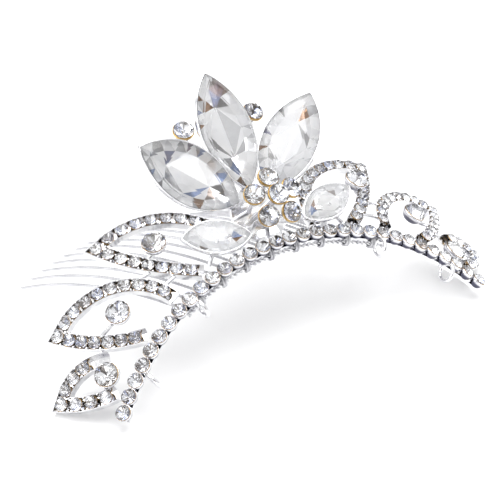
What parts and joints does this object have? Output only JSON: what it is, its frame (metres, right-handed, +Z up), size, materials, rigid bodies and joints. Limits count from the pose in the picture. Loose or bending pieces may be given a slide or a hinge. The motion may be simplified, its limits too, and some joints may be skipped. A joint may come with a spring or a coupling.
{
  "type": "bridal tiara",
  "caption": "Curved crystal bridal tiara with a band of cupped stones, paired leaf loops, a pointed-petal crystal flower and a twisted wire hair comb.",
  "frame": {"origin": "bottom centre of the bounding box, on the surface that the tiara lies on", "axes": "+X towards the wearer's left end of the band, +Y the way the leaves and the comb's teeth point, +Z up from the surface, out of the front face"},
  "size_m": [0.1086, 0.0617, 0.0492],
  "materials": {
    "silver_plate": "bright silver plating",
    "gold_cup": "bright gold plating",
    "comb_wire": "silver-plated twisted wire",
    "small_stone": "small foiled cut crystal",
    "round_stone": "foiled cut crystal",
    "petal_glass": "large clear cut crystal"
  },
  "bodies": {
    "root": {"band_rail": "silver_plate", "band_cups": "silver_plate", "band_stones": "small_stone", "leaf_frame_left_1": "silver_plate", "leaf_frame_left_2": "silver_plate", "leaf_frame_left_3": "silver_plate", "leaf_frame_right_1": "silver_plate", "leaf_frame_right_2": "silver_plate", "leaf_frame_right_3": "silver_plate", "leaf_stones_left_1": "small_stone", "leaf_stones_left_2": "small_stone", "leaf_stones_left_3": "small_stone", "leaf_stones_right_1": "small_stone", "leaf_stones_right_2": "small_stone", "leaf_stones_right_3": "small_stone", "drop_stem_left_1": "silver_plate", "drop_stem_left_2": "silver_plate", "drop_stem_left_3": "silver_plate", "drop_stem_right_1": "silver_plate", "drop_stem_right_2": "silver_plate", "drop_stem_right_3": "silver_plate", "drop_cup_left_1": "silver_plate", "drop_cup_left_2": "silver_plate", "drop_cup_left_3": "silver_plate", "drop_cup_right_1": "silver_plate", "drop_cup_right_2": "silver_plate", "drop_cup_right_3": "silver_plate", "drop_stone_left_1": "round_stone", "drop_stone_left_2": "round_stone", "drop_stone_left_3": "round_stone", "drop_stone_right_1": "round_stone", "drop_stone_right_2": "round_stone", "drop_stone_right_3": "round_stone", "flower_plate": "silver_plate", "flower_bracket": "silver_plate", "petal_setting_left": "silver_plate", "petal_setting_centre": "silver_plate", "petal_setting_right": "silver_plate", "petal_crystal_left": "petal_glass", "petal_crystal_centre": "petal_glass", "petal_crystal_right": "petal_glass", "side_setting_left": "silver_plate", "side_setting_right": "silver_plate", "side_crystal_left": "petal_glass", "side_crystal_right": "petal_glass", "bud_stem_left": "silver_plate", "bud_stem_right": "silver_plate", "bud_cup_left": "gold_cup", "bud_cup_right": "gold_cup", "bud_stone_left": "round_stone", "bud_stone_right": "round_stone", "side_posts": "silver_plate", "cluster_posts": "silver_plate", "cluster_cups": "gold_cup", "cluster_stones": "round_stone", "leaf_struts": "silver_plate", "comb_spine": "comb_wire", "comb_teeth": "comb_wire", "comb_lashing": "comb_wire", "pin_loops": "silver_plate"}
  },
  "joints": []
}
